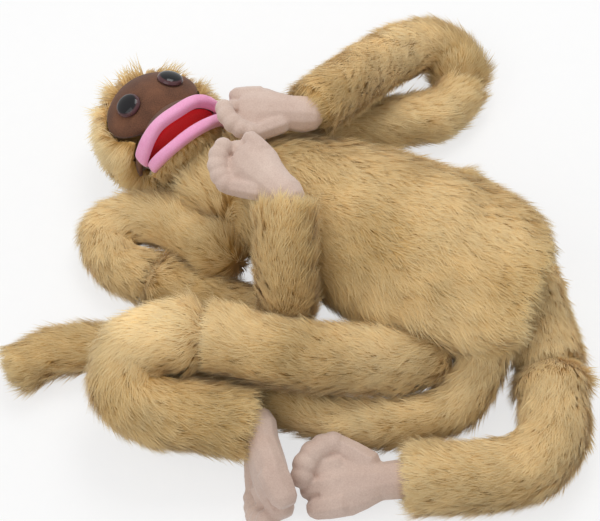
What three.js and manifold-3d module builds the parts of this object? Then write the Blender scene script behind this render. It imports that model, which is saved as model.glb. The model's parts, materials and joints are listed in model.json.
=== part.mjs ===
// Plush monkey hand puppet lying on its back. Millimetres, +X from the head to the hem,
// +Y to the puppet's left, +Z up out of the belly. The origin lies on the surface under the torso.
import * as THREE from 'three';
import { mergeVertices } from 'three/addons/utils/BufferGeometryUtils.js';
import Module from 'manifold-3d';

const wasm = await Module();
wasm.setup();

// Cloth, clearances and facets
const FUR_CLOTH = 4;
const FELT_CLOTH = 2;
const LINING_CLOTH = 2;
const GAP = 0.35;
const AROUND = 10;
const SINK = 0.5;

// Torso: a stuffed sack with a sleeve for the arm through it
const TORSO_LENGTH = 378;
const TORSO_WIDTH = 222;
const TORSO_DEPTH = 134;
const SLEEVE_WIDTH = 112;
const SLEEVE_DEPTH = 52;
const HEM_TAPE = 6;

// Head: fur hood, velour face, stiff mouth boards
const HEAD_WIDTH = 124;
const HEAD_HEIGHT = 120;
const HEAD_DEPTH = 116;
const HEAD_TILT = 30;
const FOAM_WALL = 10;
const FACE_WIDTH = 104;
const FACE_HEIGHT = 74;
const EYE_WIDTH = 27;
const EYE_SPACING = 52;
const EYE_HEIGHT = 11;
const SHANK_WIDTH = 6;
const MOUTH_WIDTH = 100;
const MOUTH_REACH = 54;
const MOUTH_LEVEL = -32;
const MOUTH_OPEN = 16;
const BOARD = 2.7;
const LIP_WIDTH = 14.5;
const MUZZLE_RISE = 25;
const CHIN_DROP = 17;
const POCKET_CLOTH = 1.5;

// Limbs: stuffed fur tubes, each hung on a stuffed ball
const ARM_LENGTH = 515;
const ARM_WIDTH = 50;
const FOREARM_WIDTH = 54;
const ARM_BALL = 20;
const LEG_LENGTH = 468;
const LEG_WIDTH = 62;
const SHIN_WIDTH = 64;
const LEG_BALL = 24;
const TAIL_LENGTH = 524;
const TAIL_WIDTH = 44;
const TAIL_BALL = 17;
const HAND_LENGTH = 88;
const HAND_WIDTH = 54;
const FOOT_LENGTH = 98;
const FOOT_WIDTH = 66;
const MITT_BALL = 19;
const SHOULDER_LIFT = 12;
const HIP_LIFT = 22;
const HIP_SWING = 12;
const ELBOW_LIFT = 30;
const ELBOW_SWING = 6;
const NECK_TURN = 10;

const vec = (x, y, z) => new THREE.Vector3(x, y, z);

// Closed geometry to a solid: welded, empty triangles dropped, turned outside out
function solid(geometry) {
  const bare = geometry.clone();
  bare.deleteAttribute('normal');
  bare.deleteAttribute('uv');
  const welded = mergeVertices(bare, 1e-4);
  const points = welded.attributes.position.array;
  const index = welded.index.array;
  const kept = [];
  let volume = 0;
  const a = vec(0, 0, 0);
  const b = vec(0, 0, 0);
  const c = vec(0, 0, 0);
  for (let i = 0; i < index.length; i += 3) {
    const [p, q, r] = [index[i], index[i + 1], index[i + 2]];
    if (p === q || q === r || r === p) continue;
    kept.push(p, q, r);
    a.fromArray(points, 3 * p);
    b.fromArray(points, 3 * q);
    c.fromArray(points, 3 * r);
    volume += a.dot(b.cross(c));
  }
  if (volume < 0) kept.reverse();
  const mesh = new wasm.Mesh({
    numProp: 3,
    vertProperties: new Float32Array(points),
    triVerts: new Uint32Array(kept),
  });
  return new wasm.Manifold(mesh);
}

function geometryOf(body) {
  const mesh = body.getMesh();
  const geometry = new THREE.BufferGeometry();
  const points = new Float32Array(mesh.numProp === 3 ? mesh.vertProperties : []);
  geometry.setAttribute('position', new THREE.BufferAttribute(points, 3));
  geometry.setIndex(new THREE.BufferAttribute(new Uint32Array(mesh.triVerts), 1));
  return geometry;
}

const moved = (body, matrix) => solid(geometryOf(body).applyMatrix4(matrix));

// A skin drawn over rings of points, closed by a fan at each end
function loft(rings) {
  const count = rings[0].length;
  const points = [];
  const index = [];
  rings.forEach((ring) => ring.forEach((p) => points.push(p.x, p.y, p.z)));
  for (let k = 0; k + 1 < rings.length; k += 1) {
    for (let i = 0; i < count; i += 1) {
      const j = (i + 1) % count;
      const [a, b] = [k * count + i, k * count + j];
      const [c, d] = [a + count, b + count];
      index.push(a, c, b, b, c, d);
    }
  }
  [0, rings.length - 1].forEach((k) => {
    const middle = vec(0, 0, 0);
    rings[k].forEach((p) => middle.addScaledVector(p, 1 / count));
    const tip = points.length / 3;
    points.push(middle.x, middle.y, middle.z);
    for (let i = 0; i < count; i += 1) {
      const [a, b] = [k * count + i, k * count + ((i + 1) % count)];
      if (k === 0) index.push(a, b, tip);
      else index.push(b, a, tip);
    }
  });
  const geometry = new THREE.BufferGeometry();
  geometry.setAttribute('position', new THREE.Float32BufferAttribute(points, 3));
  geometry.setIndex(index);
  return solid(geometry);
}

function ring(center, across, along, halfAcross, halfAlong, count = AROUND) {
  const points = [];
  for (let i = 0; i < count; i += 1) {
    const turn = (2 * Math.PI * i) / count;
    const p = center.clone().addScaledVector(across, halfAcross * Math.cos(turn));
    points.push(p.addScaledVector(along, halfAlong * Math.sin(turn)));
  }
  return points;
}

function box(low, high) {
  const size = high.clone().sub(low);
  const geometry = new THREE.BoxGeometry(size.x, size.y, size.z);
  const middle = low.clone().add(high).multiplyScalar(0.5);
  return solid(geometry.translate(middle.x, middle.y, middle.z));
}

function ellipsoid(center, half, wide = 18, high = 12) {
  const geometry = new THREE.SphereGeometry(1, wide, high);
  geometry.scale(half.x, half.y, half.z);
  return solid(geometry.translate(center.x, center.y, center.z));
}

const ball = (center, radius) => ellipsoid(center, vec(radius, radius, radius), 14, 10);

// A hollow ball seat whose flats stay clear of the round ball turning in it
const seat = (center, radius) => ball(center, (radius + GAP) * 1.05);

const minus = (body, ...tools) => tools.reduce((left, tool) => left.subtract(tool), body);
const underFloor = box(vec(-900, -900, -200), vec(900, 900, 0));

// Torso
const TORSO_STATIONS = [
  [-240, 23, 50, 0.34, 0.54],
  [-213, 7, 47, 0.34, 0.52],
  [-190, 5, 48, 0.42, 0.58],
  [-160, 6, 54, 0.52, 0.74],
  [-115, 4, 61, 0.61, 0.9],
  [-50, -3, 63, 0.75, 0.99],
  [10, -12, 62.5, 0.87, 1.0],
  [70, -24, 79, 0.86, 0.86],
  [115, -34, 96, 0.77, 0.66],
  [136, -38, 101, 0.68, 0.58],
  [150, -41, 103, 0.56, 0.48],
];
const SLEEVE_STATIONS = [
  [-213, 7, 42, 0.4, 0.8],
  [-160, 5, 56, 0.6, 0.95],
  [-50, -6, 72, 1.0, 1.0],
  [70, -24, 88, 1.0, 1.0],
  [150, -41, 103, 0.94, 0.9],
];
const torsoScale = TORSO_LENGTH / 378;
const torsoEnds = [-213 * torsoScale, 150 * torsoScale];

// A sack drawn over its stations, carried straight on past both ends by the reach
function sack(stations, width, depth, shrink, reach, count) {
  const rings = stations.map(([x, y, z, wide, deep]) => {
    const half = [(wide * width) / 2 - shrink, (deep * depth) / 2 - shrink];
    return ring(vec(x * torsoScale, y, z), vec(0, 1, 0), vec(0, 0, 1), half[0], half[1], count);
  });
  if (reach > 0) {
    rings.unshift(rings[0].map((p) => vec(p.x - reach, p.y, p.z)));
    rings.push(rings[rings.length - 1].map((p) => vec(p.x + reach, p.y, p.z)));
  }
  return loft(rings);
}

const torsoLoft = (shrink, reach) => sack(TORSO_STATIONS, TORSO_WIDTH, TORSO_DEPTH, shrink, reach, 16);
const sleeveLoft = (shrink, reach) => sack(SLEEVE_STATIONS, SLEEVE_WIDTH, SLEEVE_DEPTH, shrink, reach, 14);

// Neck: the torso ends in a round rim that the rim of the hood slides on
const HEAD_AT = vec(-268, 42, HEAD_DEPTH / 2 - SINK);
const NECK_AT = vec(HEAD_AT.x + 74.5, HEAD_AT.y - 43, 47);
const NECK_ROUND = 54;
function neckBall(radius) {
  const geometry = new THREE.SphereGeometry(radius, 36, 12).rotateX(Math.PI / 2);
  return solid(geometry.translate(NECK_AT.x, NECK_AT.y, NECK_AT.z));
}
const pastNeck = minus(box(vec(-500, -300, -100), vec(NECK_AT.x, 300, 300)), neckBall(NECK_ROUND));

// A limb path: the pose points drawn as one smooth line, scaled from its root to its length
class Limb {
  constructor(pose, length) {
    const start = vec(...pose[0]);
    const rough = new THREE.CatmullRomCurve3(pose.map((p) => vec(...p)), false, 'centripetal');
    const scale = length / rough.getLength();
    const points = pose.map((p) => vec(...p).sub(start).multiplyScalar(scale).add(start));
    this.curve = new THREE.CatmullRomCurve3(points, false, 'centripetal');
    this.curve.arcLengthDivisions = 400;
    this.length = length;
    this.steps = 160;
    this.frames = this.curve.computeFrenetFrames(this.steps, false);
  }

  at(s) {
    const u = THREE.MathUtils.clamp(s / this.length, 0, 1);
    const k = Math.round(u * this.steps);
    const tangent = this.frames.tangents[k];
    const point = this.curve.getPointAt(u).addScaledVector(tangent, s - u * this.length);
    return { point, tangent, across: this.frames.normals[k], along: this.frames.binormals[k] };
  }

  tube(stations, grow = 0) {
    const rings = stations.map(([s, r]) => {
      const { point, across, along } = this.at(s);
      return ring(point, across, along, r + grow, r + grow);
    });
    return loft(rings);
  }
}

// Stations of one stuffed section: the ball at its root, the swell, the neck before the next ball
function sectionStations(from, to, rootBall, endBall, radius) {
  const stations = [20, 50, 90].map((t) => {
    const turn = THREE.MathUtils.degToRad(t);
    return [from - rootBall * Math.cos(turn), rootBall * Math.sin(turn)];
  });
  const last = endBall > 0 ? to - 0.66 * endBall : to;
  const swellStart = from + 1.1 * rootBall;
  const swellEnd = last - 24;
  const count = Math.max(2, Math.round((swellEnd - swellStart) / 35));
  for (let i = 0; i <= count; i += 1) {
    const t = i / count;
    const s = swellStart + t * (swellEnd - swellStart);
    stations.push([s, radius * (0.94 + 0.06 * Math.sin(Math.PI * t))]);
  }
  if (endBall > 0) {
    stations.push([last, 0.79 * endBall]);
  } else {
    stations.push([last - 10, 0.74 * radius], [last, 0.3 * radius]);
  }
  return stations;
}

// Stations of the stuffing inside a section, with the neck it was filled through
function coreStations(from, to, rootBall, endBall, radius) {
  const mouth = from - rootBall * Math.cos(THREE.MathUtils.degToRad(20));
  const last = endBall > 0 ? to - 1.06 * endBall - 8 : to - 12;
  const inner = radius * 0.92 - FUR_CLOTH;
  const stations = [[mouth, 5.5], [mouth + 7, 5.5], [from, rootBall - FUR_CLOTH - 1]];
  const start = from + 1.3 * rootBall;
  const count = Math.max(2, Math.round((last - 18 - start) / 42));
  for (let i = 0; i <= count; i += 1) {
    stations.push([start + (i / count) * (last - 18 - start), inner]);
  }
  stations.push([last, 0.55 * inner]);
  return stations;
}

function section(limb, from, to, rootBall, endBall, width) {
  const outer = limb.tube(sectionStations(from, to, rootBall, endBall, width / 2));
  const core = coreStations(from, to, rootBall, endBall, width / 2);
  const first = core[0];
  const opened = [[first[0] - 3, first[1]], ...core.slice(1)];
  const shell = minus(outer, limb.tube(opened, GAP), underFloor);
  const outline = sectionStations(from, to, rootBall, endBall, width / 2);
  const wide = outline.map(([s, r], i) => [s, i < 3 ? r : r + 4]);
  return { shell, core: limb.tube(core), around: limb.tube(outline, 1), room: limb.tube(wide) };
}

// Mitt of plain pink cloth: palm, three finger lobes and a thumb, its ball at the wrist
function mitt(length, width, thumbSide) {
  const long = length / 98;
  const wide = width / 54;
  const lobe = (start, end, first, last, flat) => {
    const way = end.clone().sub(start);
    const reach = way.length();
    const along = way.normalize();
    const across = vec(0, 0, 1).cross(along).normalize();
    const lift = along.clone().cross(across);
    const stations = [[-0.5 * first, 0.6], [0, 1], [0.5 * reach, 1.06], [reach, 1], [reach + 0.62 * last, 0.6]];
    const rings = stations.map(([s, k]) => {
      const t = THREE.MathUtils.clamp(s / reach, 0, 1);
      const r = k * (first + (last - first) * t);
      return ring(start.clone().addScaledVector(along, s), across, lift, r, r * flat, 7);
    });
    return loft(rings);
  };
  const palmStations = [
    [-0.94 * MITT_BALL, 0.34 * MITT_BALL, 0.34 * MITT_BALL],
    [-0.64 * MITT_BALL, 0.77 * MITT_BALL, 0.77 * MITT_BALL],
    [0, MITT_BALL, MITT_BALL],
    [16 * long, 18.5, 17],
    [32 * long, 21 * wide, 17],
    [46 * long, 25 * wide, 17],
    [62 * long, 25 * wide, 16],
    [74 * long, 21 * wide, 12],
  ];
  const rings = palmStations.map(([x, a, b]) => ring(vec(x, 0, 0), vec(0, 1, 0), vec(0, 0, 1), a, b, 11));
  let body = loft(rings);
  [-1, 0, 1].forEach((k) => {
    const start = vec(52 * long, 15 * k * wide, 2);
    const end = vec((86 - 5 * Math.abs(k)) * long, 15.5 * k * wide, -3);
    body = body.add(lobe(start, end, 10.5 * wide, 9 * wide, 1.25));
  });
  const thumbStart = vec(24 * long, 14 * thumbSide * wide, 2);
  const thumbEnd = vec(56 * long, 33 * thumbSide * wide, 6);
  return body.add(lobe(thumbStart, thumbEnd, 10.5 * wide, 8.5 * wide, 1.1));
}

// Frame of a mitt: its fingers along one way, its back along another
function mittFrame(at, fingers, back) {
  const x = fingers.clone().normalize();
  const z = back.clone().addScaledVector(x, -back.dot(x)).normalize();
  const y = z.clone().cross(x);
  return new THREE.Matrix4().makeBasis(x, y, z).setPosition(at);
}

// Poses, as the puppet lies: points of each limb's middle line from its root
const RIGHT_ARM_POSE = [
  [-150, -76, 52], [-190, -62, 45], [-240, -50, 33], [-272, -70, 25], [-258, -98, 24],
  [-212, -109, 24], [-150, -114, 25], [-108, -116, 28], [-78, -115, 46], [-74, -113, 82],
  [-82, -93, 121], [-96, -53, 147],
];
const LEFT_ARM_POSE = [
  [-150, 77, 50], [-122, 110, 38], [-92, 136, 29], [-49, 160, 25], [-11, 186, 25],
  [-2, 226, 28], [-25, 258, 38], [-60, 227, 60], [-85, 166, 88], [-98, 112, 112], [-116, 66, 123],
];
const RIGHT_LEG_POSE = [
  [76, -106, 44], [54, -129, 50], [4, -156, 66], [-52, -183, 83], [-128, -192, 89], [-172, -210, 89],
  [-198, -240, 81], [-190, -267, 70], [-160, -274, 62], [-112, -262, 55], [-58, -250, 48],
];
const LEFT_LEG_POSE = [
  [40, 70, 48], [78, 66, 36], [116, 36, 31], [146, -6, 31], [172, -52, 31], [192, -98, 31],
  [200, -136, 31], [188, -169, 31], [152, -192, 31], [86, -219, 31],
];
const TAIL_POSE = [
  [128, -86, 66], [128, -118, 46], [110, -153, 26], [44, -191, 22], [-34, -200, 21], [-100, -202, 21],
  [-152, -200, 21], [-206, -196, 21], [-262, -214, 22], [-296, -252, 22],
];

const rightArm = new Limb(RIGHT_ARM_POSE, ARM_LENGTH);
const leftArm = new Limb(LEFT_ARM_POSE, ARM_LENGTH);
const rightLeg = new Limb(RIGHT_LEG_POSE, LEG_LENGTH);
const leftLeg = new Limb(LEFT_LEG_POSE, LEG_LENGTH);
const tail = new Limb(TAIL_POSE, TAIL_LENGTH);

const ELBOW = 0.46 * ARM_LENGTH;
const KNEE = 0.51 * LEG_LENGTH;
const TAIL_MIDDLE = 0.74 * TAIL_LENGTH;

const limbs = {
  right_upper_arm: section(rightArm, 0, ELBOW, ARM_BALL, ARM_BALL, ARM_WIDTH),
  right_forearm: section(rightArm, ELBOW, ARM_LENGTH, ARM_BALL, MITT_BALL, FOREARM_WIDTH),
  left_upper_arm: section(leftArm, 0, ELBOW, ARM_BALL, ARM_BALL, ARM_WIDTH),
  left_forearm: section(leftArm, ELBOW, ARM_LENGTH, ARM_BALL, MITT_BALL, FOREARM_WIDTH),
  right_thigh: section(rightLeg, 0, KNEE, LEG_BALL, LEG_BALL, LEG_WIDTH),
  right_shin: section(rightLeg, KNEE, LEG_LENGTH, LEG_BALL, MITT_BALL, SHIN_WIDTH),
  left_thigh: section(leftLeg, 0, KNEE, LEG_BALL, LEG_BALL, LEG_WIDTH),
  left_shin: section(leftLeg, KNEE, LEG_LENGTH, LEG_BALL, MITT_BALL, SHIN_WIDTH),
  tail_base: section(tail, 0, TAIL_MIDDLE, TAIL_BALL, TAIL_BALL, TAIL_WIDTH),
  tail_tip: section(tail, TAIL_MIDDLE, TAIL_LENGTH, TAIL_BALL, 0, TAIL_WIDTH),
};

const joints = {
  right_shoulder: rightArm.at(0).point,
  left_shoulder: leftArm.at(0).point,
  right_elbow: rightArm.at(ELBOW).point,
  left_elbow: leftArm.at(ELBOW).point,
  right_wrist: rightArm.at(ARM_LENGTH).point,
  left_wrist: leftArm.at(ARM_LENGTH).point,
  right_hip: rightLeg.at(0).point,
  left_hip: leftLeg.at(0).point,
  right_knee: rightLeg.at(KNEE).point,
  left_knee: leftLeg.at(KNEE).point,
  right_ankle: rightLeg.at(LEG_LENGTH).point,
  left_ankle: leftLeg.at(LEG_LENGTH).point,
  tail_root: tail.at(0).point,
  tail_middle: tail.at(TAIL_MIDDLE).point,
};

// Room that a section needs while it turns about its joint
function swept(form, joint, axis, degrees) {
  const steps = degrees > 15 ? [0, 0.5, 1] : [0, 1];
  return steps.map((step) => {
    const angle = THREE.MathUtils.degToRad(degrees * step);
    const turn = new THREE.Matrix4().makeRotationAxis(axis.clone().normalize(), angle);
    const there = new THREE.Matrix4().makeTranslation(joint.x, joint.y, joint.z);
    const back = new THREE.Matrix4().makeTranslation(-joint.x, -joint.y, -joint.z);
    return moved(form, there.multiply(turn).multiply(back));
  });
}

// Each section gives way to the ball that turns in its end
const ends = {
  right_upper_arm: seat(joints.right_elbow, ARM_BALL),
  right_forearm: seat(joints.right_wrist, MITT_BALL),
  left_upper_arm: seat(joints.left_elbow, ARM_BALL),
  left_forearm: seat(joints.left_wrist, MITT_BALL),
  right_thigh: seat(joints.right_knee, LEG_BALL),
  right_shin: seat(joints.right_ankle, MITT_BALL),
  left_thigh: seat(joints.left_knee, LEG_BALL),
  left_shin: seat(joints.left_ankle, MITT_BALL),
  tail_base: seat(joints.tail_middle, TAIL_BALL),
};
Object.entries(ends).forEach(([name, tool]) => {
  limbs[name].shell = limbs[name].shell.subtract(tool);
});
const elbowRoom = swept(limbs.left_forearm.around, joints.left_elbow, vec(-0.8, 0.6, 0), ELBOW_LIFT);
limbs.left_upper_arm.shell = minus(limbs.left_upper_arm.shell, ...elbowRoom);

// Hands and feet
const mitts = {
  right_hand: [mitt(HAND_LENGTH, HAND_WIDTH, 1), joints.right_wrist, vec(-80, 47, -4), vec(-0.3, -0.35, 1)],
  left_hand: [mitt(HAND_LENGTH, HAND_WIDTH, 1), joints.left_wrist, vec(-80, -20, 0), vec(0, -0.1, 1)],
  right_foot: [mitt(FOOT_LENGTH, FOOT_WIDTH, -1), joints.right_ankle, vec(46, -67, -15), vec(-0.9, -0.4, 0.2)],
  left_foot: [mitt(FOOT_LENGTH, FOOT_WIDTH, -1), joints.left_ankle, vec(-86, -36, -13), vec(0, -0.2, 1)],
};
Object.keys(mitts).forEach((name) => {
  const [body, at, fingers, back] = mitts[name];
  mitts[name] = minus(moved(body, mittFrame(at, fingers, back)), underFloor);
});
mitts.left_hand = mitts.left_hand.subtract(mitts.right_hand);
mitts.left_foot = mitts.left_foot.subtract(mitts.right_foot);

// Head, built upright round its own middle: +X to its left, +Y up, +Z out of the face
const tilt = THREE.MathUtils.degToRad(HEAD_TILT);
const headLeft = vec(Math.sin(tilt), Math.cos(tilt), 0);
const headUp = vec(-Math.cos(tilt), Math.sin(tilt), 0);
const headAt = HEAD_AT;
const headFrame = new THREE.Matrix4().makeBasis(headLeft, headUp, vec(0, 0, 1)).setPosition(headAt);

const origin = vec(0, 0, 0);
const skull = (shrink) => {
  const half = vec(HEAD_WIDTH / 2 - shrink, HEAD_HEIGHT / 2 - shrink, HEAD_DEPTH / 2 - shrink);
  return ellipsoid(origin, half, 18, 12);
};
const toHead = headFrame.clone().invert();
const neckRoom = moved(neckBall(NECK_ROUND + GAP), toHead);
const NECK_LEVEL = -0.63 * (HEAD_HEIGHT / 2);
const belowHead = box(vec(-200, -200, -200), vec(200, NECK_LEVEL, 200));

function faceDisc(grow) {
  const rings = [0, 200].map((z) => {
    const half = [FACE_WIDTH / 2 + grow, FACE_HEIGHT / 2 + grow];
    return ring(vec(0, 9, z), vec(1, 0, 0), vec(0, 1, 0), half[0], half[1], 20);
  });
  return loft(rings);
}

const MUZZLE_BACK = 8;
const mouthHalf = MOUTH_WIDTH / 2;
const muzzleAt = vec(0, MOUTH_LEVEL, MUZZLE_BACK);
const muzzle = (grow) => {
  return ellipsoid(muzzleAt, vec(mouthHalf + 3 + grow, MUZZLE_RISE + grow, MOUTH_REACH + 5 + grow), 16, 10);
};
const muzzleRoom = muzzle(GAP).intersect(box(vec(-200, -200, MUZZLE_BACK - GAP), vec(200, 200, 200)));
const aboveMouth = box(vec(-200, MOUTH_LEVEL, MUZZLE_BACK), vec(200, 200, 200));

// D-shaped plate between two levels
function mouthPlate(half, reach, low, high) {
  const outline = new THREE.Shape();
  outline.moveTo(half, 0);
  outline.absellipse(0, 0, half, reach, 0, Math.PI, false, 0);
  outline.lineTo(half, 0);
  const geometry = new THREE.ExtrudeGeometry(outline, { depth: high - low, bevelEnabled: false, curveSegments: 10 });
  geometry.rotateX(Math.PI / 2);
  return solid(geometry.translate(0, high, MUZZLE_BACK));
}

// Fat roll along the front of the mouth, thin at the corners
function lip(half, reach, level, width, bow) {
  const rings = [];
  for (let i = 0; i <= 14; i += 1) {
    const t = -1 + (2 * i) / 14;
    const turn = t * THREE.MathUtils.degToRad(84);
    const center = vec(half * Math.sin(turn), level + bow * Math.exp(-18 * t * t), MUZZLE_BACK + reach * Math.cos(turn));
    const outward = vec(Math.sin(turn), 0, Math.cos(turn));
    const swell = 0.5 * width * (0.5 + 0.5 * Math.sqrt(1 - 0.96 * t * t));
    rings.push(ring(center, outward, vec(0, 1, 0), swell, swell, 8));
  }
  return loft(rings);
}

// Half-round cloth tunnel for the fingers
function pocket(half, rise, level, from, to, turnOver) {
  const rings = (grow, reach) => [from - reach, to + reach].map((z) => {
    const points = ring(vec(0, level, z), vec(1, 0, 0), vec(0, turnOver, 0), half + grow, rise + grow, 16);
    return points.map((p) => (turnOver * (p.y - level) < 0 ? vec(p.x, level - turnOver * 6, p.z) : p));
  });
  const cut = turnOver > 0 ? box(vec(-200, -300, -200), vec(200, level, 200)) : box(vec(-200, level, -200), vec(200, 300, 200));
  return minus(loft(rings(0, 0)), loft(rings(-POCKET_CLOTH, 5)), cut);
}

const upperBoard = mouthPlate(mouthHalf - 1, MOUTH_REACH, MOUTH_LEVEL - GAP - BOARD, MOUTH_LEVEL - GAP);
const paletteTop = MOUTH_LEVEL - 2 * GAP - BOARD;
const palate = mouthPlate(mouthHalf - 3, MOUTH_REACH - 2, paletteTop - FELT_CLOTH, paletteTop);
const muzzleShell = minus(muzzle(0), muzzle(-FUR_CLOTH)).intersect(aboveMouth);
const upperLip = minus(
  lip(mouthHalf + 4, MOUTH_REACH + 7, MOUTH_LEVEL - 1, LIP_WIDTH, -3),
  muzzle(GAP).intersect(box(vec(-200, MOUTH_LEVEL - GAP, -200), vec(200, 200, 200))),
  mouthPlate(mouthHalf - 1 + GAP, MOUTH_REACH + GAP, paletteTop - FELT_CLOTH - 20, MOUTH_LEVEL),
);

const underHead = box(vec(-200, -200, -200), vec(200, 200, -headAt.z));
const mouthWay = box(vec(-58, -200, -6), vec(58, MOUTH_LEVEL + 3, 200));
const hoodShell = minus(skull(0), skull(FUR_CLOTH), faceDisc(GAP), neckRoom, underHead, muzzleRoom, mouthWay);
const faceShell = minus(skull(0), skull(FUR_CLOTH)).intersect(faceDisc(0));
const foamFront = box(vec(-200, -200, 6), vec(200, 200, 200));
const foamInner = FUR_CLOTH + GAP + FOAM_WALL;
const foam = minus(skull(FUR_CLOTH + GAP), skull(foamInner), foamFront, belowHead, neckRoom, muzzleRoom, mouthWay);

// Eyes: domed buttons whose shanks pass through the face to a washer
function eyeParts(side) {
  const x = (side * EYE_SPACING) / 2;
  const half = [HEAD_WIDTH / 2, HEAD_HEIGHT / 2, HEAD_DEPTH / 2];
  const z = half[2] * Math.sqrt(1 - (x / half[0]) ** 2 - (EYE_HEIGHT / half[1]) ** 2);
  const outward = vec(x / half[0] ** 2, EYE_HEIGHT / half[1] ** 2, z / half[2] ** 2).normalize();
  const at = vec(x, EYE_HEIGHT, z).addScaledVector(outward, GAP);
  const turn = new THREE.Quaternion().setFromUnitVectors(vec(0, 1, 0), outward);
  const frame = new THREE.Matrix4().makeRotationFromQuaternion(turn).setPosition(at);
  const r = EYE_WIDTH / 2;
  const shank = SHANK_WIDTH / 2;
  const profile = [
    [0, -FUR_CLOTH - 6], [shank, -FUR_CLOTH - 6], [shank, 0], [r - 0.5, 0], [r, 1.2], [0.93 * r, 3.2],
    [0.72 * r, 5.2], [0.4 * r, 6.4], [0, 6.8],
  ];
  const washer = [
    [shank + GAP, -FUR_CLOTH - 4], [shank + 6, -FUR_CLOTH - 4], [shank + 6, -FUR_CLOTH - 2.6],
    [shank + GAP, -FUR_CLOTH - 2.6], [shank + GAP, -FUR_CLOTH - 4],
  ];
  const turned = (points, facets) => {
    const outline = points.map(([a, b]) => new THREE.Vector2(a, b));
    return solid(new THREE.LatheGeometry(outline, facets).applyMatrix4(frame));
  };
  const hole = [[0, -30], [shank + GAP, -30], [shank + GAP, 20], [0, 20]];
  return { eye: turned(profile, 18), washer: turned(washer, 14), hole: turned(hole, 12) };
}
const leftEye = eyeParts(1);
const rightEye = eyeParts(-1);

// Lower jaw, built closed and swung open about the mouth hinge
const HINGE = vec(0, MOUTH_LEVEL - 6, 2);
const HINGE_ROLL = MUZZLE_BACK - HINGE.z - GAP;
function hingeRoll(radius, half) {
  const ends = [-half, half].map((x) => ring(vec(x, HINGE.y, HINGE.z), vec(0, 1, 0), vec(0, 0, 1), radius, radius, 24));
  return loft(ends);
}
const jawTop = paletteTop - FELT_CLOTH - 0.5;
const jawHalf = mouthHalf - 5;
const jawReach = MOUTH_REACH - 4;
const jawBoardTop = jawTop - FELT_CLOTH - GAP;
const jawLow = jawBoardTop - BOARD - GAP;
const chinAt = vec(0, jawLow, MUZZLE_BACK);
const chin = (grow) => {
  return ellipsoid(chinAt, vec(jawHalf + 2 + grow, CHIN_DROP + grow, jawReach + 2 + grow), 16, 10);
};
const belowJaw = box(vec(-200, -300, MUZZLE_BACK), vec(200, jawLow, 200));
const swing = (angle) => {
  const back = new THREE.Matrix4().makeTranslation(-HINGE.x, -HINGE.y, -HINGE.z);
  const turn = new THREE.Matrix4().makeRotationX(THREE.MathUtils.degToRad(angle));
  return new THREE.Matrix4().makeTranslation(HINGE.x, HINGE.y, HINGE.z).multiply(turn).multiply(back);
};
const jawFrame = headFrame.clone().multiply(swing(MOUTH_OPEN));
const lowerLip = minus(
  lip(jawHalf + 4, jawReach + 6, jawLow - 1, LIP_WIDTH, 0),
  chin(GAP).intersect(box(vec(-200, -300, -200), vec(200, jawLow + GAP, 200))),
  mouthPlate(jawHalf + GAP, jawReach + GAP, jawLow - 1, jawTop + 20),
  box(vec(-200, jawTop + 1.2, -200), vec(200, 200, 200)),
);

const headNodes = {
  head_hood: hoodShell,
  head_foam: minus(foam, leftEye.hole, rightEye.hole),
  face_panel: minus(faceShell, muzzleRoom, leftEye.hole, rightEye.hole),
  muzzle_panel: muzzleShell,
  upper_lip: upperLip,
  upper_mouth_board: upperBoard,
  palate_felt: palate,
  left_eye: leftEye.eye,
  right_eye: rightEye.eye,
  left_eye_washer: leftEye.washer,
  right_eye_washer: rightEye.washer,
  finger_pocket: pocket(32, 15, MOUTH_LEVEL + GAP, 12, 42, 1),
  mouth_hinge_tape: hingeRoll(HINGE_ROLL, 32),
};
const jawNodes = {
  lower_mouth_board: mouthPlate(jawHalf, jawReach, jawLow + GAP, jawBoardTop),
  tongue_felt: mouthPlate(jawHalf - 2, jawReach - 2, jawBoardTop + GAP, jawTop),
  lower_lip: lowerLip,
  chin_cover: minus(chin(0), chin(-FUR_CLOTH)).intersect(belowJaw),
  thumb_pocket: pocket(24, 12, jawLow, 12, 24, -1),
};

// Torso pieces give way to the shoulders, hips, tail root, jaw and forearms
const balls = [
  seat(joints.right_shoulder, ARM_BALL), seat(joints.left_shoulder, ARM_BALL), seat(joints.right_hip, LEG_BALL),
  seat(joints.left_hip, LEG_BALL), seat(joints.tail_root, TAIL_BALL),
];
const neckTurn = (degrees) => {
  const there = new THREE.Matrix4().makeTranslation(NECK_AT.x, NECK_AT.y, 0);
  const turn = new THREE.Matrix4().makeRotationZ(THREE.MathUtils.degToRad(degrees));
  return there.multiply(turn).multiply(new THREE.Matrix4().makeTranslation(-NECK_AT.x, -NECK_AT.y, 0));
};
const jawRoom = [[0, 0], [6, 0], [0, NECK_TURN], [6, NECK_TURN]].map(([more, turn]) => {
  const frame = neckTurn(turn).multiply(headFrame).multiply(swing(MOUTH_OPEN + more));
  return moved(chin(8).intersect(box(vec(-200, -300, MUZZLE_BACK - 4), vec(200, jawLow + 9, 200))), frame);
});
const rollRoom = [0, NECK_TURN].map((turn) => moved(hingeRoll(HINGE_ROLL + 1, 34), neckTurn(turn).multiply(headFrame)));
const mouthRoom = box(vec(-500, -300, headAt.z - 12), vec(NECK_AT.x - 6, 300, 300));
const rooted = ['left_upper_arm', 'tail_base'];
const room = [
  ...balls,
  mouthRoom,
  ...jawRoom,
  ...rollRoom,
  ...rooted.map((name) => limbs[name].room),
  ...swept(limbs.right_upper_arm.room, joints.right_shoulder, vec(0.5, -0.87, 0), SHOULDER_LIFT),
  ...swept(limbs.right_forearm.room, joints.right_elbow, vec(0, -1, 0), ELBOW_SWING),
  ...swept(limbs.left_thigh.room, joints.left_hip, vec(0, 0, 1), HIP_SWING),
  ...swept(limbs.right_thigh.room, joints.right_hip, vec(-0.33, 0.94, 0), HIP_LIFT),
];
const between = (low, high) => box(vec(low, -300, -100), vec(high, 300, 300));
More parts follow.
